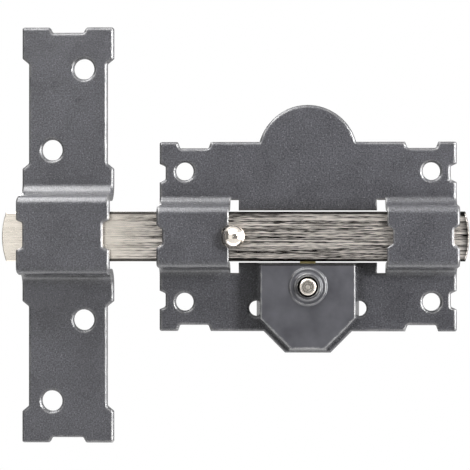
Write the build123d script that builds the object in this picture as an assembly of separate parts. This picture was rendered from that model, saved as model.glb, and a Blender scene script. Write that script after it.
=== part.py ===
from build123d import *
import math
import os

os.makedirs("parts", exist_ok=True)

# A surface-mounted sliding bolt lock with a pushbutton, and the strike plate its bolt is thrown into.
# Sizes are in millimetres. The lock is drawn lying on its back, x along the bolt, y up the door and
# z away from the door, about the middle of the four plate screws. It is stood up when it is saved.

# Sheet metal of both plates
sheet = 2.0
edge_break = 0.6
corner_round = 0.7

# Drawing aids: how far a cut runs past a face, and how near an edge lies to the place it is looked for
overcut = 1.0
match = 0.01
from_below = (Align.CENTER, Align.CENTER, Align.MIN)

# Bolt
bolt_length = 155.0
bolt_half_height = 8.25
bolt_thickness = 10.0
bolt_end_radius = 25.0
bolt_edge_round = 0.6
bolt_back_gap = 0.2
bolt_side_gap = 0.3
bolt_front_gap = 0.3
bolt_front = bolt_back_gap + bolt_thickness

# Knob on the bolt
knob_spigot_radius = 1.75
knob_spigot_depth = 7.5
knob_spigot_gap = 0.05
knob_stem_radius = 2.2
knob_head_radius = 3.7
knob_head_base = 13.4
knob_rim_height = 1.3
knob_top = 18.4

# Cover over the mechanism: half width at the sides, reach of the slanted lower corners, depth of the foot
cover_bolt_gap = 0.65
cover_top = -bolt_half_height - cover_bolt_gap
cover_base = (17.2, 44.8, 38.5)
cover_face = (15.6, 42.5, 36.9)
cover_height = 10.0
cover_wall = 1.6
cover_edge_round = 0.9
cover_face_round = 0.5
cover_front = sheet + cover_height
cover_ceiling = cover_front - cover_wall
cover_screw_x = 13.2
cover_screw_y = -18.0
cover_post_radius = 2.2
cover_web_half = 1.3
boss_radius = 6.5
boss_rise = 0.6
collar_ring_radius = 4.95
collar_ring_rise = 0.7
boss_recess_radius = 3.4
boss_recess_depth = 1.9

# Lock plate, its dome above and its lobe under the cover
plate_half_width = 50.0
plate_half_height = 31.9
dome_radius = 16.85
dome_sink = 4.4
dome_centre = plate_half_height - dome_sink
lobe_foot_margin = 0.6
lobe_corner_margin = 1.95
plate_hole_inset_x = 8.45
plate_hole_inset_y = 9.9
plate_hole_radius = 3.0
plate_hole_x = plate_half_width - plate_hole_inset_x
plate_hole_y = plate_half_height - plate_hole_inset_y
spare_hole_x = cover_base[0]
spare_hole_y = -24.2
spare_hole_radius = 2.55
end_notch_inset = 11.7
end_notch_x = plate_half_width - end_notch_inset
end_notch_half = 4.8
end_notch_mouth_half = 5.6
end_notch_depth = 2.1
side_notch_inset = 10.5
side_notch_y = plate_half_height - side_notch_inset
side_notch_half = 2.2
side_notch_mouth_half = 3.1
side_notch_depth = 2.0

# Bridges of the lock plate, bent up over the bolt
bridge_length = 23.9
bridge_inside_x = plate_half_width - bridge_length
bridge_inner_half = bolt_half_height + bolt_side_gap
bridge_roof = bolt_front + bolt_front_gap
bridge_top_bend = 3.1
bridge_base_bend = 3.3
bridge_notch_depth = 1.9
bridge_notch_half = 2.4
bridge_notch_mouth_half = 3.7
bend_flat = 1.0

# Travel of the bolt, whose knob goes from the notch in one bridge to the notch in the other
knob_stop_gap = 1.6
bolt_travel = 2 * (bridge_inside_x + bridge_notch_depth - knob_stem_radius - knob_stop_gap)
bolt_middle = -bolt_travel / 2

# Window behind the bolt, with taller slots beside each bridge
window_gap = 0.55
window_half_height = bolt_half_height + window_gap
slot_width = 2.85
slot_inside_x = bridge_inside_x - slot_width
slot_past_bridge = 1.75
slot_half_height = bridge_inner_half + sheet + slot_past_bridge

# Strike plate
strike_rise = 0.55
strike_half_height = 70.2
strike_ear_half = 15.5
strike_waist_half = 13.3
strike_waist_slant = 1.8
strike_ear_height = 10.6
strike_end_ear = strike_half_height - strike_ear_height
strike_bridge_ear = 22.4
strike_end_notch_half = 5.2
strike_end_notch_mouth_half = 6.2
strike_end_notch_depth = 1.8
strike_hole_radius = 3.5
strike_hole_x = 5.4
strike_hole_inset = 14.1
strike_hole_outer = strike_half_height - strike_hole_inset
strike_hole_past_ear = 6.3
strike_hole_inner = strike_bridge_ear + strike_hole_past_ear
strike_bridge_inner_half = 11.35
strike_base_bend = 4.0
strike_notch_depth = 2.1
strike_notch_half = 4.0
strike_notch_mouth_half = 4.9
bolt_past_strike = 5.13
strike_x = bolt_middle - bolt_length / 2 + bolt_past_strike + strike_ear_half

# Screws that hold the cover from behind the plate
screw_radius = 1.25
screw_head_radius = 2.5
screw_head_depth = 1.3
screw_tip = 9.0
screw_gap = 0.05
screw_slot_width = 0.7
screw_slot_depth = 0.6

# Pushbutton, its axis and how far it is pressed
button_drop = 7.6
button_y = cover_top - button_drop
button_radius = 2.75
button_gap = 0.1
button_travel = 2.6
button_top = 15.9
button_rim_round = 0.45
button_ring_radius = 1.75
button_nib_radius = 0.8
button_ring_depth = 0.3
button_collar_radius = 4.6
button_collar_thickness = 2.0
button_bore_radius = 2.2
button_bore_top = 12.5

# Brass cam behind the button, its one tooth in the bolt's notch
cam_gap = 0.1
cam_thickness = 2.0
cam_radius = 5.2
cam_front_boss_radius = 3.2
cam_front_boss = 0.8
cam_hub_radius = 3.6
cam_plate_gap = 0.4
tooth_half_width = 2.6
tooth_bite = 2.2
tooth_round = 0.5
key_slot_length = 4.0
key_slot_width = 1.6
key_hole_radius = 3.0

# Coil spring between the plate and the cam
spring_radius = 4.25
spring_wire_radius = 0.25
spring_wire_sides = 8
spring_turns = 2.25

# Clearances of the tooth in the notches and the groove cut into the bolt
tooth_gap = 0.3

# Heights of the mechanism with the button out
collar_front = cover_ceiling - button_gap
collar_back = collar_front - button_collar_thickness
cam_front = collar_back - cam_gap
cam_back = cam_front - cam_thickness
cam_hub_back = sheet + button_travel + cam_plate_gap


def slanted_notch(half, mouth_half, depth):
    """A notch that opens towards -x at the origin, with slanted flanks."""
    notch = Polygon((-overcut, -mouth_half), (0, -mouth_half), (depth, -half),
                    (depth, half), (0, mouth_half), (-overcut, mouth_half), align=None)
    return fillet(notch.vertices().group_by(Axis.X)[-1], corner_round)


def hat(half, foot, low, shoulder, crown, base_bend, top_bend):
    """Hat-shaped section: feet out to both sides, walls at half either side, rounded at all four bends."""
    right = [(foot, low), (foot, shoulder), (half, shoulder), (half, crown)]
    left = [(-x, y) for x, y in reversed(right)]
    section = Polygon(*right, *left, align=None)
    roots = [v for v in section.vertices() if abs(abs(v.X) - half) < match and abs(v.Y - shoulder) < match]
    section = fillet(roots, base_bend)
    return fillet(section.vertices().group_by(Axis.Y)[-1], top_bend)


def strap(inner_half, base_bend, length, notch, mouth_half, free_ends):
    """A bent-up bridge of hat section with its flat feet, along x about the origin, notched at both ends."""
    foot = strap_foot(inner_half, base_bend)
    crown = bridge_roof + sheet
    outside = hat(inner_half + sheet, foot, 0, sheet, crown, base_bend, bridge_top_bend)
    inside = hat(inner_half, foot, -overcut, 0, bridge_roof, base_bend + sheet, bridge_top_bend - sheet)
    body = extrude(Plane.YZ * outside, length / 2, both=True)
    cutter = Pos(-length / 2, 0, bridge_roof - overcut) * extrude(notch, sheet + 2 * overcut)
    for turn in (0, 180):
        body -= Rot(0, 0, turn) * cutter
    for end in free_ends:
        body = broken_end(body, end * length / 2, mouth_half, foot, crown)
    return body - extrude(Plane.YZ * inside, length / 2, both=True)


def broken_end(body, x, mouth_half, foot, crown):
    """Rounds the corners of a bridge's notch at one end and breaks the sheared front edge there."""
    def at_end(edge):
        box = edge.bounding_box()
        return abs(box.min.X - x) < match and abs(box.max.X - x) < match

    upright = body.edges().filter_by(Axis.Z)
    mouth = [e for e in upright if at_end(e) and abs(abs(e.center().Y) - mouth_half) < match]
    body = fillet(mouth, corner_round)

    def sheared(edge):
        box = edge.bounding_box()
        if abs(box.min.Z - crown) < match:
            return abs(edge.center().X - x) < abs(x) / 2
        side = abs(edge.center().Y)
        return at_end(edge) and box.max.Z > sheet - match and mouth_half + corner_round < side < foot - match

    return chamfer([e for e in body.edges() if sheared(e)], edge_break)


def strap_foot(inner_half, base_bend):
    """Half the height of the strip of flat sheet that a bridge takes the place of."""
    return inner_half + sheet + base_bend + bend_flat


def front_edges(solid, level):
    """Edges that lie in a flat face at one height."""
    boxes = [(e, e.bounding_box()) for e in solid.edges()]
    return [e for e, box in boxes if abs(box.min.Z - level) < match and abs(box.max.Z - level) < match]


def lock_plate():
    outline = RectangleRounded(2 * plate_half_width, 2 * plate_half_height, corner_round)
    outline += Pos(0, dome_centre) * Circle(dome_radius)
    lobe_tip = cover_base[2] + lobe_foot_margin
    lobe_reach = cover_base[1] + lobe_corner_margin
    lobe_side = [(plate_half_height - lobe_reach, -plate_half_height), (lobe_tip - lobe_reach, -lobe_tip)]
    outline += Polygon(*lobe_side, *[(-x, y) for x, y in reversed(lobe_side)], align=None)
    end_notch = slanted_notch(end_notch_half, end_notch_mouth_half, end_notch_depth)
    side_notch = slanted_notch(side_notch_half, side_notch_mouth_half, side_notch_depth)
    for side in (-1, 1):
        to_side = Rot(0, 0, 90 + 90 * side)
        for level in (-1, 1):
            to_end = Rot(0, 0, -90 * level)
            outline -= Pos(side * end_notch_x, level * plate_half_height) * to_end * end_notch
            outline -= Pos(side * plate_half_width, level * side_notch_y) * to_side * side_notch
            outline -= Pos(side * plate_hole_x, level * plate_hole_y) * Circle(plate_hole_radius)
        outline -= Pos(side * spare_hole_x, spare_hole_y) * Circle(spare_hole_radius)
    blank = extrude(outline, sheet)
    blank = chamfer(front_edges(blank, sheet), edge_break)
    window = Rectangle(2 * bridge_inside_x, 2 * window_half_height)
    for side in (-1, 1):
        window += Pos(side * (slot_inside_x + bridge_inside_x) / 2) * Rectangle(
            bridge_inside_x - slot_inside_x, 2 * slot_half_height)
    window += Pos(0, button_y) * Circle(key_hole_radius)
    blank -= extrude(window, sheet)
    for side in (-1, 1):
        blank -= Pos(side * cover_screw_x, cover_screw_y) * screw_seat()
    gap = Box(bridge_length, 2 * strap_foot(bridge_inner_half, bridge_base_bend), 2 * (sheet + overcut))
    notch = slanted_notch(bridge_notch_half, bridge_notch_mouth_half, bridge_notch_depth)
    for side in (-1, 1):
        bridge = strap(bridge_inner_half, bridge_base_bend, bridge_length, notch, bridge_notch_mouth_half,
                       [side])
        middle = Pos(side * (plate_half_width + bridge_inside_x) / 2, 0, 0)
        blank = blank - middle * gap + middle * bridge
    return blank


def strike_plate():
    outline = Rectangle(2 * strike_ear_half, 2 * strike_half_height)
    waist_high = strike_end_ear - strike_waist_slant
    waist_low = strike_bridge_ear + strike_waist_slant
    waist = Polygon((strike_ear_half, strike_end_ear), (strike_waist_half, waist_high),
                    (strike_waist_half, waist_low), (strike_ear_half, strike_bridge_ear), align=None)
    end_notch = slanted_notch(strike_end_notch_half, strike_end_notch_mouth_half, strike_end_notch_depth)
    for level in (-1, 1):
        outline -= Pos(0, level * strike_half_height) * Rot(0, 0, -90 * level) * end_notch
    for turn in (0, 180):
        outline -= Rot(0, 0, turn) * (waist + mirror(waist, Plane.XZ))
    outer = [v for v in outline.vertices() if abs(abs(v.Y) - strike_half_height) < match
             or abs(v.X) > strike_waist_half - match]
    outline = fillet(outer, corner_round)
    for level in (-1, 1):
        outline -= Pos(level * strike_hole_x, level * strike_hole_outer) * Circle(strike_hole_radius)
        outline -= Pos(-level * strike_hole_x, level * strike_hole_inner) * Circle(strike_hole_radius)
    blank = extrude(outline, sheet)
    blank = chamfer(front_edges(blank, sheet), edge_break)
    width = 2 * strike_ear_half
    foot = strap_foot(strike_bridge_inner_half, strike_base_bend)
    blank -= Box(width + 2 * overcut, 2 * foot, 2 * (sheet + overcut))
    notch = slanted_notch(strike_notch_half, strike_notch_mouth_half, strike_notch_depth)
    blank += strap(strike_bridge_inner_half, strike_base_bend, width, notch, strike_notch_mouth_half, [-1, 1])
    return Pos(strike_x, strike_rise, 0) * blank


def notch_reach():
    """How far a notch lets the tooth's leading corner run ahead while the cam turns it out of the bolt."""
    edge = -bolt_half_height - button_y
    corner = math.hypot(edge + tooth_bite, tooth_half_width)
    leaving = math.acos(edge / corner)
    turned = leaving - math.atan2(tooth_half_width, edge + tooth_bite)
    return corner * math.sin(leaving) - bolt_travel / (2 * math.pi) * turned, corner


def bolt():
    half = bolt_length / 2
    outline = Rectangle(bolt_length, 2 * bolt_half_height)
    for side in (-1, 1):
        outline &= Pos(side * (half - bolt_end_radius)) * Circle(bolt_end_radius) + Pos(
            -side * bolt_end_radius) * Rectangle(bolt_length, 2 * bolt_half_height)
    body = Pos(0, 0, bolt_back_gap) * extrude(outline, bolt_thickness)
    body = fillet(front_edges(body, bolt_front) + front_edges(body, bolt_back_gap), bolt_edge_round)
    lead, corner = notch_reach()
    notch_top = button_y + corner + tooth_gap
    depth = notch_top + bolt_half_height + overcut
    groove_front = cam_back - tooth_gap
    notch_front = cam_front + tooth_gap
    swing = math.sqrt(corner ** 2 - (bolt_half_height + button_y) ** 2) + tooth_gap
    groove = Box(bolt_travel + 2 * swing, depth, groove_front, align=(Align.CENTER, Align.MAX, Align.MIN))
    body -= Pos(0, notch_top, 0) * groove
    for side in (-1, 1):
        ahead = lead + tooth_gap
        behind = tooth_half_width + tooth_gap
        notch = Box(ahead + behind, depth, notch_front - groove_front + overcut,
                    align=(Align.CENTER, Align.MAX, Align.MAX))
        body -= Pos(side * (bolt_travel / 2 + (ahead - behind) / 2), notch_top, notch_front) * notch
    body -= Pos(0, 0, bolt_front - knob_spigot_depth) * Cylinder(
        knob_spigot_radius + knob_spigot_gap, knob_spigot_depth, align=from_below)
    return Pos(bolt_middle, 0, 0) * body


def turned(*points):
    """A solid turned about z from the points (radius, height) of its half section."""
    return revolve(Plane.XZ * Polygon(*points, align=None), Axis.Z)


def bolt_knob():
    spigot_end = bolt_front - knob_spigot_depth + knob_spigot_gap
    dome = knob_top - knob_head_base - knob_rim_height
    dome_radius_of_head = (knob_head_radius ** 2 + dome ** 2) / (2 * dome)
    body = turned((0, spigot_end), (knob_spigot_radius, spigot_end), (knob_spigot_radius, bolt_front),
                  (knob_stem_radius, bolt_front), (knob_stem_radius, knob_head_base),
                  (knob_head_radius, knob_head_base), (knob_head_radius, knob_top), (0, knob_top))
    ball = Pos(0, 0, knob_top - dome_radius_of_head) * Sphere(dome_radius_of_head)
    lower = Cylinder(knob_head_radius, knob_head_base + knob_rim_height, align=from_below)
    return Pos(bolt_middle, 0, 0) * (body & (ball + lower))


def cover_section(level, inset):
    """Outline of the cover at a height above the door, drawn in by the thickness of its wall."""
    share = (level - sheet) / cover_height
    half, reach, foot = (low + (high - low) * share for low, high in zip(cover_base, cover_face))
    half -= inset
    reach -= inset * math.sqrt(2)
    foot -= inset
    top = cover_top - inset
    return Pos(0, 0, level) * Polygon((-half, top), (half, top), (half, half - reach), (reach - foot, -foot),
                                      (foot - reach, -foot), (-half, half - reach), align=None)


def mechanism_cover():
    body = loft([cover_section(sheet, 0), cover_section(cover_front, 0)], ruled=True)
    upright = [e for e in body.edges() if e.bounding_box().size.Z > match]
    body = fillet([e for e in upright if e.center().Y < cover_top - match], cover_edge_round)
    body = fillet(front_edges(body, cover_front), cover_face_round)
    body -= loft([cover_section(sheet, cover_wall), cover_section(cover_ceiling, cover_wall)], ruled=True)
    inside = cover_ceiling - sheet
    wall = cover_base[0] - cover_wall
    for side in (-1, 1):
        post = Pos(side * cover_screw_x, cover_screw_y, sheet)
        web = Box(wall - cover_screw_x, 2 * cover_web_half, inside, align=from_below)
        body += post * Cylinder(cover_post_radius, inside, align=from_below)
        body += Pos(side * (wall + cover_screw_x) / 2, cover_screw_y, sheet) * web
        body -= post * Cylinder(screw_radius + screw_gap, screw_tip + screw_gap - sheet, align=from_below)
    boss_top = cover_front + boss_rise
    ring_top = boss_top + collar_ring_rise
    steps = turned((0, cover_ceiling), (boss_radius, cover_ceiling), (boss_radius, cover_front),
                   (boss_radius - boss_rise, boss_top), (collar_ring_radius, boss_top),
                   (collar_ring_radius - collar_ring_rise, ring_top), (0, ring_top))
    well = Cylinder(boss_recess_radius, boss_recess_depth + overcut, align=from_below)
    bore = Cylinder(button_radius + button_gap, 2 * cover_front, align=from_below)
    body += Pos(0, button_y, 0) * steps
    body -= Pos(0, button_y, ring_top - boss_recess_depth) * well
    body -= Pos(0, button_y, 0) * bore
    reach = notch_reach()[1]
    swing = math.sqrt(reach ** 2 - (cover_top - cover_wall - button_y) ** 2) + 2 * tooth_gap
    tooth_way = Box(2 * swing, 4 * cover_wall, cam_front + 2 * tooth_gap - sheet, align=from_below)
    body -= Pos(0, cover_top, sheet) * tooth_way
    return body


def screw_seat():
    """Countersunk hole for a cover screw, from behind the plate."""
    head = screw_head_radius + screw_gap
    shank = screw_radius + screw_gap
    return turned((0, -overcut), (head, -overcut), (head, 0), (shank, screw_head_depth),
                  (shank, sheet + overcut), (0, sheet + overcut))


def cover_screw(side):
    body = turned((0, 0), (screw_head_radius, 0), (screw_radius, screw_head_depth), (screw_radius, screw_tip),
                  (0, screw_tip))
    body -= Box(3 * screw_head_radius, screw_slot_width, 2 * screw_slot_depth)
    return Pos(side * cover_screw_x, cover_screw_y, 0) * body


def push_button():
    inner = cam_front_boss_radius + cam_gap
    recess = cam_front + cam_front_boss + cam_gap
    body = turned((button_bore_radius, recess), (inner, recess), (inner, collar_back),
                  (button_collar_radius, collar_back), (button_collar_radius, collar_front),
                  (button_radius, collar_front), (button_radius, button_top), (0, button_top),
                  (0, button_bore_top), (button_bore_radius, button_bore_top))
    body = fillet(front_edges(body, button_top), button_rim_round)
    ring_floor = button_top - button_ring_depth
    ring_mouth = button_top + overcut
    ring = turned((button_nib_radius, ring_floor), (button_ring_radius, ring_floor),
                  (button_ring_radius, ring_mouth), (button_nib_radius, ring_mouth))
    return Pos(0, button_y, 0) * (body - ring)


def drive_cam():
    body = turned((0, cam_hub_back), (cam_hub_radius, cam_hub_back), (cam_hub_radius, cam_back),
                  (cam_radius, cam_back), (cam_radius, cam_front), (cam_front_boss_radius, cam_front),
                  (cam_front_boss_radius, cam_front + cam_front_boss), (0, cam_front + cam_front_boss))
    tip = -bolt_half_height - button_y + tooth_bite
    tooth = Pos(0, tip / 2) * Rectangle(2 * tooth_half_width, tip)
    tooth = fillet(tooth.vertices().group_by(Axis.Y)[-1], tooth_round)
    body += Pos(0, 0, cam_back) * extrude(tooth, cam_thickness)
    body -= Box(key_slot_length, key_slot_width, 4 * cover_front)
    return Pos(0, button_y, 0) * body


def button_spring():
    rise = cam_back - sheet - 2 * spring_wire_radius
    path = Helix(rise / spring_turns, rise, spring_radius)
    section = Plane(path @ 0, z_dir=path % 0) * RegularPolygon(spring_wire_radius, spring_wire_sides)
    coil = sweep(section, path, is_frenet=True)
    return Pos(0, button_y, sheet + spring_wire_radius) * coil


pieces = {
    "lock_plate": lock_plate(),
    "strike_plate": strike_plate(),
    "mechanism_cover": mechanism_cover(),
    "cover_screw_left": cover_screw(-1),
    "cover_screw_right": cover_screw(1),
    "bolt": bolt(),
    "bolt_knob": bolt_knob(),
    "push_button": push_button(),
    "drive_cam": drive_cam(),
    "button_spring": button_spring(),
}
for name, piece in pieces.items():
    export_step(Rot(90, 0, 0) * piece, f"parts/{name}.step")
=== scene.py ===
import math
import bmesh
import bpy
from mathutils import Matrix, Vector


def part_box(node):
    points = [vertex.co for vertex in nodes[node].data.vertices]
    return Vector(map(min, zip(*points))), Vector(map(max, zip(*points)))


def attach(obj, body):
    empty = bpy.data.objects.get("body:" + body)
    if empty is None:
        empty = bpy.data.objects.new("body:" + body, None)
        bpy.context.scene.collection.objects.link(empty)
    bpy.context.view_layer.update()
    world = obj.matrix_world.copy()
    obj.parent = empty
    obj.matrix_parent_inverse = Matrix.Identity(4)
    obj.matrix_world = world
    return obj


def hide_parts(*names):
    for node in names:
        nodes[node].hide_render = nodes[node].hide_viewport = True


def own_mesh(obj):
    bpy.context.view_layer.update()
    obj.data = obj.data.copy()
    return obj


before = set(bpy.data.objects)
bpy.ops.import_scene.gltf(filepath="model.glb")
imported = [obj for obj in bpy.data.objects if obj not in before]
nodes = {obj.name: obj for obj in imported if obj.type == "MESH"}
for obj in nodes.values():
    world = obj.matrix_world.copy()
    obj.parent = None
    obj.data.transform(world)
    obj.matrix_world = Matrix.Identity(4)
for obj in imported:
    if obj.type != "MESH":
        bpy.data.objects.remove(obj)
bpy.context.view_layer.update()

MM = 0.001


def srgb(code):
    """Linear colour of an sRGB hex value."""
    parts = [int(code[i:i + 2], 16) / 255 for i in (1, 3, 5)]
    return [p / 12.92 if p <= 0.04045 else ((p + 0.055) / 1.055) ** 2.4 for p in parts] + [1.0]


WHITE = srgb("#ffffff")


def add(tree, kind, inputs=(), **settings):
    """One node with its settings, each input a value or a link."""
    node = tree.nodes.new(kind)
    for name, value in settings.items():
        setattr(node, name, value)
    for name, value in dict(inputs).items():
        if isinstance(value, bpy.types.NodeSocket):
            tree.links.new(value, node.inputs[name])
        else:
            node.inputs[name].default_value = value
    return node


def new_material(name):
    """An empty material and its node tree."""
    material = bpy.data.materials.new(name)
    material.use_nodes = True
    material.node_tree.nodes.clear()
    return material, material.node_tree


def worn_edge(tree, where, reach, spot, most):
    """Share of bare metal within reach of outer edges, broken up by rubbed spots, where a finger has room."""
    finger_room = 6 * MM
    inside = add(tree, "ShaderNodeAmbientOcclusion", {"Distance": reach}, inside=True, samples=8)
    edge = add(tree, "ShaderNodeMapRange", {
        "Value": inside.outputs["AO"], "From Min": 0.99, "From Max": 0.78})
    around = add(tree, "ShaderNodeAmbientOcclusion", {"Distance": finger_room}, samples=8)
    open_edge = add(tree, "ShaderNodeMapRange", {
        "Value": around.outputs["AO"], "From Min": 0.7, "From Max": 0.95})
    rubbed = add(tree, "ShaderNodeTexNoise", {"Vector": where, "Scale": 1 / spot, "Detail": 3.0})
    share = add(tree, "ShaderNodeMapRange", {
        "Value": rubbed.outputs["Fac"], "From Min": 0.35, "From Max": 0.65, "To Max": most})
    reached = add(tree, "ShaderNodeMath", {0: edge.outputs["Result"], 1: open_edge.outputs["Result"]},
                  operation="MULTIPLY")
    return add(tree, "ShaderNodeMath", {0: reached.outputs["Value"], 1: share.outputs["Result"]},
               operation="MULTIPLY").outputs["Value"]


def painted_corner_shade(tree, reach, darkest):
    """Brightness left within reach of inner corners: painted shade, darker where more surroundings are near.
    """
    open_air = add(tree, "ShaderNodeAmbientOcclusion", {"Distance": reach}, samples=8)
    return add(tree, "ShaderNodeMapRange", {
        "Value": open_air.outputs["AO"], "From Min": 0.35, "From Max": 1.0, "To Min": darkest,
        "To Max": 1.0}).outputs["Result"]


# Graphite enamel stoved onto pressed sheet steel: a dark grey with a gloss that lights up on the bends. The
# spray leaves a grain half a millimetre wide, which makes the gloss uneven like the peel of an orange, paler
# metal flakes drawn a third of a millimetre wide so that they show, and clouds a centimetre wide. Corners are
# darkened with painted shade, and edges are rubbed down to the steel.
def graphite_enamel():
    material, tree = new_material("graphite_enamel_on_pressed_steel")
    where = add(tree, "ShaderNodeTexCoord").outputs["Object"]
    grain = add(tree, "ShaderNodeTexNoise", {"Vector": where, "Scale": 1 / (0.5 * MM), "Detail": 3.0})
    flake = add(tree, "ShaderNodeTexNoise", {"Vector": where, "Scale": 1 / (0.35 * MM), "Detail": 1.0})
    cloud = add(tree, "ShaderNodeTexNoise", {"Vector": where, "Scale": 1 / (11 * MM), "Detail": 4.0})
    paint = add(tree, "ShaderNodeValToRGB", {"Fac": grain.outputs["Fac"]})
    paint.color_ramp.elements[0].position = 0.36
    paint.color_ramp.elements[0].color = srgb("#333337")
    paint.color_ramp.elements[1].position = 0.64
    paint.color_ramp.elements[1].color = srgb("#57575c")
    shade = add(tree, "ShaderNodeMapRange", {
        "Value": cloud.outputs["Fac"], "From Min": 0.3, "From Max": 0.7, "To Min": 0.86, "To Max": 1.14})
    # Painted shade: the clouds' brightness is cut down near inner corners.
    clouds_and_painted_shade = add(tree, "ShaderNodeMath", {0: shade.outputs["Result"], 1: painted_corner_shade(tree, 6 * MM, 0.2)},
                operation="MULTIPLY")
    clouded_and_shaded = add(tree, "ShaderNodeHueSaturation", {
        "Color": paint.outputs["Color"], "Value": clouds_and_painted_shade.outputs["Value"]})
    glint = add(tree, "ShaderNodeMapRange", {
        "Value": flake.outputs["Fac"], "From Min": 0.64, "From Max": 0.76, "To Max": 0.4})
    flaked = add(tree, "ShaderNodeMix", {
        "Factor": glint.outputs["Result"], 6: clouded_and_shaded.outputs["Color"], 7: srgb("#a3a3a8")}, data_type="RGBA")
    soft = add(tree, "ShaderNodeBevel", {"Radius": 1.1 * MM}, samples=8).outputs["Normal"]
    bare = worn_edge(tree, where, 0.7 * MM, 4 * MM, 0.4)
    colour = add(tree, "ShaderNodeMix", {"Factor": bare, 6: flaked.outputs[2], 7: srgb("#c4c2be")},
                 data_type="RGBA")
    rough = add(tree, "ShaderNodeMapRange", {"Value": cloud.outputs["Fac"], "To Min": 0.22, "To Max": 0.34})
    bump = add(tree, "ShaderNodeBump", {
        "Height": grain.outputs["Fac"], "Strength": 0.3, "Distance": 0.03 * MM, "Normal": soft})
    peel = add(tree, "ShaderNodeBump", {
        "Height": grain.outputs["Fac"], "Strength": 1.0, "Distance": 0.12 * MM, "Normal": soft})
    shader = add(tree, "ShaderNodeBsdfPrincipled", {
        "Base Color": colour.outputs[2], "Metallic": bare, "Roughness": rough.outputs["Result"],
        "Normal": bump.outputs["Normal"], "Specular IOR Level": 0.25, "Coat Weight": 0.9,
        "Coat Roughness": 0.1, "Coat Normal": peel.outputs["Normal"]})
    add(tree, "ShaderNodeOutputMaterial", {"Surface": shader.outputs["BSDF"]})
    return material


# Smooth graphite enamel on a zinc die casting: glossy and without grain, clouded eight millimetres wide, with
# a waviness three millimetres wide that makes its reflections swim. A thin pale line along the edge of its
# face is partly rubbed paint and partly a painted highlight. Painted shade darkens the corners, a painted
# shadow of the bolt turns the edge beside it black and keeps the pale line off it, and both leave the coat
# off there.
def cast_enamel():
    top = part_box("mechanism_cover")[1][2]
    material, tree = new_material("smooth_enamel_on_die_cast_zinc")
    where = add(tree, "ShaderNodeTexCoord").outputs["Object"]
    place = add(tree, "ShaderNodeSeparateXYZ", {"Vector": where})
    cloud = add(tree, "ShaderNodeTexNoise", {"Vector": where, "Scale": 1 / (8 * MM), "Detail": 3.0})
    wave = add(tree, "ShaderNodeTexNoise", {"Vector": where, "Scale": 1 / (3 * MM), "Detail": 1.0})
    paint = add(tree, "ShaderNodeMix", {
        "Factor": cloud.outputs["Fac"], 6: srgb("#2e2e33"), 7: srgb("#636368")}, data_type="RGBA")
    # Painted shadow of the bolt: zero along the cover's top edge, one below it.
    outside_painted_bolt_shadow = add(tree, "ShaderNodeMapRange", {
        "Value": place.outputs["Z"], "From Min": top - 0.9 * MM, "From Max": top - 0.5 * MM,
        "To Min": 1.0, "To Max": 0.0})
    # Painted shade in the corners and in the bolt's painted shadow; it also sets where the coat is.
    unshaded_and_coated = add(tree, "ShaderNodeMath", {0: outside_painted_bolt_shadow.outputs["Result"], 1: painted_corner_shade(tree, 3 * MM, 0.0)},
                operation="MULTIPLY").outputs["Value"]
    shaded_paint = add(tree, "ShaderNodeHueSaturation", {"Color": paint.outputs[2], "Value": unshaded_and_coated})
    soft = add(tree, "ShaderNodeBevel", {"Radius": 0.3 * MM}, samples=6).outputs["Normal"]
    # Pale line along the face's edges, partly rubbed paint and partly a painted highlight.
    bare = add(tree, "ShaderNodeMath", {
        0: outside_painted_bolt_shadow.outputs["Result"], 1: worn_edge(tree, where, 0.5 * MM, 3 * MM, 0.9)},
        operation="MULTIPLY").outputs["Value"]
    colour = add(tree, "ShaderNodeMix", {"Factor": bare, 6: shaded_paint.outputs["Color"], 7: srgb("#deddda")},
                 data_type="RGBA")
    bump = add(tree, "ShaderNodeBump", {
        "Height": wave.outputs["Fac"], "Strength": 0.2, "Distance": 0.05 * MM, "Normal": soft})
    shader = add(tree, "ShaderNodeBsdfPrincipled", {
        "Base Color": colour.outputs[2], "Roughness": 0.26, "Normal": bump.outputs["Normal"],
        "Specular IOR Level": 0.25, "Coat Weight": unshaded_and_coated, "Coat Roughness": 0.06, "Coat Normal": soft})
    add(tree, "ShaderNodeOutputMaterial", {"Surface": shader.outputs["BSDF"]})
    return material
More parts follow.
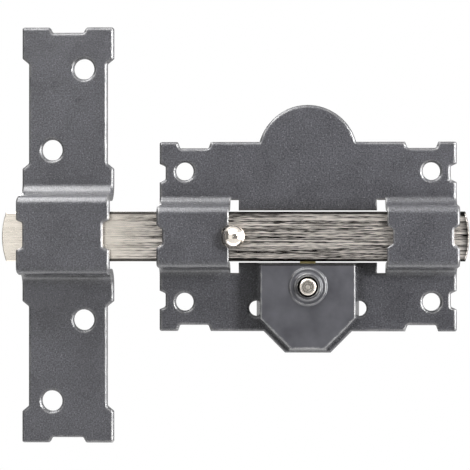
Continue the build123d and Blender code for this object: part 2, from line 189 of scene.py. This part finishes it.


# Nickel plate on a linished steel bar: warm white metal. The belt's marks run lengthwise, long lines with
# short nicks among them, drawn a fifth of a millimetre wide so that they show; they are the bar's own, and
# the light and dark they break it into is painted reflection. Painted shade darkens the rounded edges and the
# back end, the narrow sides are grey, and the end thrown through the strike is rubbed smooth and pale.
def linished_nickel():
    low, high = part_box("bolt")
    line_length, line_width = 60 * MM, 0.21 * MM
    nick_length, nick_width = 4 * MM, 0.18 * MM
    material, tree = new_material("linished_nickel_on_steel_bar")
    where = add(tree, "ShaderNodeTexCoord").outputs["Object"]
    place = add(tree, "ShaderNodeSeparateXYZ", {"Vector": where})
    long_marks = add(tree, "ShaderNodeMapping", {
        "Vector": where, "Scale": (1 / line_length, 1 / line_width, 1 / line_width)})
    short_marks = add(tree, "ShaderNodeMapping", {
        "Vector": where, "Scale": (1 / nick_length, 1 / nick_width, 1 / nick_width)})
    lines = add(tree, "ShaderNodeTexNoise", {
        "Vector": long_marks.outputs["Vector"], "Scale": 1.0, "Detail": 2.0, "Roughness": 0.8})
    nicks = add(tree, "ShaderNodeTexNoise", {
        "Vector": short_marks.outputs["Vector"], "Scale": 1.0, "Detail": 1.0, "Roughness": 0.8})
    marks = add(tree, "ShaderNodeMix", {"Factor": 0.35, 2: lines.outputs["Fac"], 3: nicks.outputs["Fac"]},
                data_type="FLOAT")
    # Painted reflection: the marks' near-black and near-white tones stand in for what the scratches mirror.
    tone = add(tree, "ShaderNodeValToRGB", {"Fac": marks.outputs[0]})
    tone.color_ramp.elements[0].position = 0.48
    tone.color_ramp.elements[0].color = srgb("#242220")
    tone.color_ramp.elements[1].position = 0.535
    tone.color_ramp.elements[1].color = srgb("#f6eee6")
    # Painted shade: the rounded top and bottom edges go near black.
    height = add(tree, "ShaderNodeMath", {0: place.outputs["Z"]}, operation="ABSOLUTE")
    painted_edge_shade = add(tree, "ShaderNodeMapRange", {
        "Value": height.outputs["Value"], "From Min": high[2] - 1.2 * MM, "From Max": high[2] - 0.6 * MM,
        "To Min": 1.0, "To Max": 0.03})
    side = add(tree, "ShaderNodeMapRange", {
        "Value": height.outputs["Value"], "From Min": high[2] - 0.2 * MM, "From Max": high[2] - 0.05 * MM,
        "To Min": 0.0, "To Max": 0.5})
    rounded = add(tree, "ShaderNodeMath", {
        0: painted_edge_shade.outputs["Result"], 1: side.outputs["Result"]}, operation="MAXIMUM")
    # Painted shade at the back end of the bar.
    painted_back_end_shade = add(tree, "ShaderNodeMapRange", {
        "Value": place.outputs["X"], "From Min": high[0] - 3 * MM, "From Max": high[0] - 1 * MM,
        "To Min": 1.0, "To Max": 0.15})
    painted_edge_and_end_shade = add(tree, "ShaderNodeMath", {
        0: rounded.outputs["Value"], 1: painted_back_end_shade.outputs["Result"]}, operation="MULTIPLY")
    rubbed = add(tree, "ShaderNodeMapRange", {
        "Value": place.outputs["X"], "From Min": low[0] + 34 * MM, "From Max": low[0] + 54 * MM,
        "To Min": 0.85, "To Max": 0.0})
    face = add(tree, "ShaderNodeMix", {
        "Factor": rubbed.outputs["Result"], 6: tone.outputs["Color"], 7: srgb("#ece4d8")}, data_type="RGBA")
    past_tip = add(tree, "ShaderNodeMapRange", {
        "Value": place.outputs["X"], "From Min": low[0] + 26 * MM, "From Max": low[0] + 32 * MM})
    edge = add(tree, "ShaderNodeMix", {
        "Factor": past_tip.outputs["Result"], 2: 1.0, 3: painted_edge_and_end_shade.outputs["Value"]}, data_type="FLOAT")
    colour = add(tree, "ShaderNodeHueSaturation", {"Color": face.outputs[2], "Value": edge.outputs[0]})
    rough = add(tree, "ShaderNodeMapRange", {"Value": marks.outputs[0], "To Min": 0.2, "To Max": 0.36})
    bump = add(tree, "ShaderNodeBump", {"Height": marks.outputs[0], "Strength": 0.4, "Distance": 0.05 * MM})
    shader = add(tree, "ShaderNodeBsdfPrincipled", {
        "Base Color": colour.outputs["Color"], "Metallic": 1.0, "Roughness": rough.outputs["Result"],
        "Normal": bump.outputs["Normal"]})
    add(tree, "ShaderNodeOutputMaterial", {"Surface": shader.outputs["BSDF"]})
    return material


# Nickel plate on turned brass: a warm mirror. The lathe leaves rings about the piece's own axis, drawn
# coarser than they are so that they show, with tarnish in their grooves, and handling leaves a light haze.
# Painted shade darkens the inner corners.
def turned_nickel(node, haze_low, haze_high, ring_gap, groove_dark):
    waves_per_tau = 20  # how often Blender's ring pattern repeats over a length of tau at scale 1
    low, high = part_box(node)
    material, tree = new_material("nickel_on_turned_brass_" + node)
    where = add(tree, "ShaderNodeTexCoord").outputs["Object"]
    axis = add(tree, "ShaderNodeMapping", {
        "Vector": where, "Location": [-(a + b) / 2 for a, b in zip(low, high)]})
    rings = add(tree, "ShaderNodeTexWave", {
        "Vector": axis.outputs["Vector"], "Scale": math.tau / (waves_per_tau * ring_gap),
        "Distortion": 0.4}, wave_type="RINGS", rings_direction="Y")
    haze = add(tree, "ShaderNodeTexNoise", {"Vector": where, "Scale": 1 / (0.9 * MM), "Detail": 3.0})
    metal = add(tree, "ShaderNodeMix", {
        "Factor": haze.outputs["Fac"], 6: srgb("#ded5c9"), 7: srgb("#f9f1e7")}, data_type="RGBA")
    groove = add(tree, "ShaderNodeMapRange", {
        "Value": rings.outputs["Fac"], "From Max": 0.3, "To Min": 1 - groove_dark, "To Max": 1.0})
    # Painted shade in the inner corners, on top of the tarnish in the grooves.
    tarnish_and_painted_shade = add(tree, "ShaderNodeMath", {0: groove.outputs["Result"], 1: painted_corner_shade(tree, 1.2 * MM, 0.0)},
                 operation="MULTIPLY")
    tone = add(tree, "ShaderNodeHueSaturation", {"Color": metal.outputs[2], "Value": tarnish_and_painted_shade.outputs["Value"]})
    rough = add(tree, "ShaderNodeMapRange", {
        "Value": haze.outputs["Fac"], "To Min": haze_low, "To Max": haze_high})
    bump = add(tree, "ShaderNodeBump", {
        "Height": rings.outputs["Fac"], "Strength": 0.25, "Distance": 0.01 * MM})
    shader = add(tree, "ShaderNodeBsdfPrincipled", {
        "Base Color": tone.outputs["Color"], "Metallic": 1.0, "Roughness": rough.outputs["Result"],
        "Normal": bump.outputs["Normal"]})
    add(tree, "ShaderNodeOutputMaterial", {"Surface": shader.outputs["BSDF"]})
    return material


# Stamped brass left bare: yellow metal, tarnished in patches two millimetres wide.
def stamped_brass():
    material, tree = new_material("stamped_brass")
    where = add(tree, "ShaderNodeTexCoord").outputs["Object"]
    patch = add(tree, "ShaderNodeTexNoise", {"Vector": where, "Scale": 1 / (2 * MM), "Detail": 4.0})
    tone = add(tree, "ShaderNodeMix", {
        "Factor": patch.outputs["Fac"], 6: srgb("#9c8c58"), 7: srgb("#e6d69e")}, data_type="RGBA")
    rough = add(tree, "ShaderNodeMapRange", {"Value": patch.outputs["Fac"], "To Min": 0.26, "To Max": 0.42})
    shader = add(tree, "ShaderNodeBsdfPrincipled", {
        "Base Color": tone.outputs[2], "Metallic": 1.0, "Roughness": rough.outputs["Result"]})
    add(tree, "ShaderNodeOutputMaterial", {"Surface": shader.outputs["BSDF"]})
    return material


# Zinc plate on drawn steel: pale grey metal with a mottle 0.7 mm wide from the plating bath.
def plated_steel():
    material, tree = new_material("zinc_plated_steel")
    where = add(tree, "ShaderNodeTexCoord").outputs["Object"]
    mottle = add(tree, "ShaderNodeTexNoise", {"Vector": where, "Scale": 1 / (0.7 * MM), "Detail": 3.0})
    tone = add(tree, "ShaderNodeMix", {
        "Factor": mottle.outputs["Fac"], 6: srgb("#8f9194"), 7: srgb("#bcbec0")}, data_type="RGBA")
    rough = add(tree, "ShaderNodeMapRange", {"Value": mottle.outputs["Fac"], "To Min": 0.25, "To Max": 0.45})
    shader = add(tree, "ShaderNodeBsdfPrincipled", {
        "Base Color": tone.outputs[2], "Metallic": 1.0, "Roughness": rough.outputs["Result"]})
    add(tree, "ShaderNodeOutputMaterial", {"Surface": shader.outputs["BSDF"]})
    return material


# Return spring behind the button: round wire in closed end turns and open turns between them. It stands
# on the plate.
def button_coil(material):
    low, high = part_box("button_spring")
    wire = 0.25 * MM
    radius = (high[0] - low[0]) / 2 - wire
    middle_x = (low[0] + high[0]) / 2
    middle_z = (low[2] + high[2]) / 2
    turns, closed = 4.5, 0.75
    steps, sides = 28, 10
    open_turns = turns - 2 * closed
    end_pitch = 2 * wire
    open_pitch = (high[1] - low[1] - 2 * wire - 2 * closed * end_pitch) / open_turns
    along = Vector((0, 1, 0))
    mesh = bmesh.new()
    rows = []
    for i in range(int(turns * steps) + 1):
        turn = i / steps
        rise = (end_pitch * min(turn, closed) + open_pitch * min(max(turn - closed, 0), open_turns)
                + end_pitch * max(turn - turns + closed, 0))
        angle = math.tau * turn
        out = Vector((math.cos(angle), 0, math.sin(angle)))
        place = Vector((middle_x, high[1] - wire - rise, middle_z)) + radius * out
        ring = []
        for k in range(sides):
            around = math.tau * k / sides
            ring.append(mesh.verts.new(place + wire * (math.cos(around) * out + math.sin(around) * along)))
        rows.append(ring)
    for first, second in zip(rows, rows[1:]):
        for k in range(sides):
            mesh.faces.new((first[k], first[(k + 1) % sides], second[(k + 1) % sides], second[k]))
    mesh.faces.new(rows[0])
    mesh.faces.new(reversed(rows[-1]))
    bmesh.ops.recalc_face_normals(mesh, faces=mesh.faces)
    data = bpy.data.meshes.new("return_spring")
    mesh.to_mesh(data)
    mesh.free()
    data.materials.append(material)
    data.shade_smooth()
    coil = bpy.data.objects.new("return_spring", data)
    bpy.context.collection.objects.link(coil)
    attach(coil, "lock")
    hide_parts("button_spring")
    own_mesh(coil)


def looked_at(tree):
    """One where a thing is looked at, straight, through glass or in a mirror, and zero elsewhere."""
    path = add(tree, "ShaderNodeLightPath")
    seen = add(tree, "ShaderNodeMath", {
        0: path.outputs["Is Camera Ray"], 1: path.outputs["Is Transmission Ray"]}, operation="MAXIMUM")
    return add(tree, "ShaderNodeMath", {
        0: seen.outputs["Value"], 1: path.outputs["Is Glossy Ray"]}, operation="MAXIMUM").outputs["Value"]


# White studio: the world is white where it is looked at or mirrored, and a soft grey light elsewhere.
def white_world():
    world = bpy.data.worlds.new("white_studio")
    bpy.context.scene.world = world
    world.use_nodes = True
    tree = world.node_tree
    tree.nodes.clear()
    strength = add(tree, "ShaderNodeMapRange", {"Value": looked_at(tree), "To Min": 0.05, "To Max": 1.0})
    light = add(tree, "ShaderNodeBackground", {"Color": WHITE, "Strength": strength.outputs["Result"]})
    add(tree, "ShaderNodeOutputWorld", {"Surface": light.outputs["Background"]})


# White paint on a floor well below the lock. Far off it is as white as the studio where it is looked at or
# mirrored, and nearer the lock it is left to the lamps, so that the lock's shadow shows on it.
def pale_floor():
    bpy.ops.mesh.primitive_plane_add(size=6, location=(0, 0, -0.4))
    floor = bpy.context.object
    floor.name = "floor"
    material, tree = new_material("white_floor_paint")
    where = add(tree, "ShaderNodeTexCoord").outputs["Object"]
    away = add(tree, "ShaderNodeVectorMath", {0: where}, operation="LENGTH")
    far = add(tree, "ShaderNodeMapRange", {
        "Value": away.outputs["Value"], "From Min": 0.3, "From Max": 1.0, "To Min": 0.6, "To Max": 1.0})
    share = add(tree, "ShaderNodeMath", {0: looked_at(tree), 1: far.outputs["Result"]}, operation="MULTIPLY")
    paint = add(tree, "ShaderNodeBsdfPrincipled", {"Base Color": srgb("#e6e6e6"), "Roughness": 0.8})
    glow = add(tree, "ShaderNodeEmission", {"Color": WHITE, "Strength": 1.0})
    mix = add(tree, "ShaderNodeMixShader", {
        "Fac": share.outputs["Value"], 1: paint.outputs["BSDF"], 2: glow.outputs["Emission"]})
    add(tree, "ShaderNodeOutputMaterial", {"Surface": mix.outputs["Shader"]})
    floor.data.materials.append(material)


def panel(name, place, aim, size, power, mirrored=True):
    """A soft rectangular studio lamp, which metal mirrors or not."""
    data = bpy.data.lights.new(name, "AREA")
    data.shape = "RECTANGLE"
    data.size, data.size_y = size
    data.energy = power
    lamp = bpy.data.objects.new(name, data)
    lamp.location = place
    lamp.rotation_euler = (Vector(aim) - Vector(place)).to_track_quat("-Z", "Y").to_euler()
    lamp.visible_glossy = mirrored
    bpy.context.collection.objects.link(lamp)


# Studio cards that are only mirrored: grey ones that flat metal reflects, and bright ones that draw a line of
# light along edges and bends. A card has one shade, or fades from it to another between two places along it.
def card(name, place, turn, size, shade, fade=None):
    bpy.ops.mesh.primitive_plane_add(size=1, location=place, rotation=[math.radians(a) for a in turn])
    board = bpy.context.object
    board.name = name
    board.scale = (*size, 1)
    material, tree = new_material(name + "_paper")
    strength = shade
    if fade:
        start, end, last_shade = fade
        where = add(tree, "ShaderNodeTexCoord").outputs["Object"]
        across = add(tree, "ShaderNodeSeparateXYZ", {"Vector": where})
        strength = add(tree, "ShaderNodeMapRange", {
            "Value": across.outputs["X"], "From Min": start / size[0], "From Max": end / size[0],
            "To Min": shade, "To Max": last_shade}).outputs["Result"]
    glow = add(tree, "ShaderNodeEmission", {"Color": WHITE, "Strength": strength})
    add(tree, "ShaderNodeOutputMaterial", {"Surface": glow.outputs["Emission"]})
    board.data.materials.append(material)
    for kind in ("camera", "diffuse", "shadow", "transmission"):
        setattr(board, "visible_" + kind, False)


# Camera at the photograph's place, fitted to the outlines of plate, strike and bridges. Its focal length is
# that of the photograph in pixels. It looks a little to the strike's side, and the shift does the rest of the
# photograph's framing.
def photo_camera():
    focal_pixels, frame_pixels = 1345.2, 470
    yaw, pitch = -0.0251, 0.0021
    data = bpy.data.cameras.new("camera")
    data.sensor_width = 36
    data.lens = focal_pixels / frame_pixels * data.sensor_width
    data.shift_x = -0.08
    data.clip_start = 0.01
    camera = bpy.data.objects.new("camera", data)
    camera.location = (-0.47 * MM, -454.65 * MM, -0.44 * MM)
    look = Vector((math.sin(yaw) * math.cos(pitch), math.cos(yaw) * math.cos(pitch), math.sin(pitch)))
    camera.rotation_euler = look.to_track_quat("-Z", "Y").to_euler()
    bpy.context.collection.objects.link(camera)
    bpy.context.scene.camera = camera


enamel = graphite_enamel()
steel = plated_steel()
finishes = {
    "lock_plate": enamel,
    "strike_plate": enamel,
    "mechanism_cover": cast_enamel(),
    "bolt": linished_nickel(),
    "bolt_knob": turned_nickel("bolt_knob", 0.03, 0.07, 0.3 * MM, 0.1),
    "push_button": turned_nickel("push_button", 0.2, 0.36, 0.9 * MM, 0.4),
    "drive_cam": stamped_brass(),
    "cover_screw_left": steel,
    "cover_screw_right": steel,
}
for name, material in finishes.items():
    for slot in nodes[name].material_slots:
        slot.material = material
button_coil(steel)

white_world()
pale_floor()
# Each card's name, place, turn in degrees, size and shade, then its fade's start, end and last shade
card("front_card", (0, -0.9, 0), (90, 0, 0), (1.6, 1.1), 1.15, (-0.36, -0.1, 0.26))
card("left_card", (-0.9, -0.15, 0), (90, 0, 90), (0.9, 1.4), 0.2)
card("back_card", (0, 0.9, 0), (90, 0, 0), (2.4, 1.6), 0.35)
card("right_card", (0.87, -0.39, 0.05), (90, 0, 66), (0.6, 1.2), 20)
card("top_card", (-0.2, -0.5, 0.75), (34, 0, 0), (1.4, 1.0), 12, (-0.06, 0.08, 2.5))
card("low_card", (0, 0.01, -0.38), (0, 0, 0), (1.0, 0.22), 2.4)
# Each lamp's name, place, aim, size and watts. Mirrored in the upper bends, the fill would burn them white.
panel("key_front_right", (0.44, -0.54, 0.17), (0, 0, 0), (0.12, 0.12), 4.9)
panel("rim_right", (1.0, -0.15, 0.05), (0, 0, 0), (0.25, 1.2), 2)
panel("fill_top", (-0.1, -0.34, 0.82), (-0.03, 0, 0), (0.9, 0.2), 8, mirrored=False)
panel("back_fill", (-0.4, 0.9, 0.45), (0, 0, 0), (0.7, 0.7), 9)
photo_camera()
bpy.context.scene.view_settings.view_transform = "Standard"
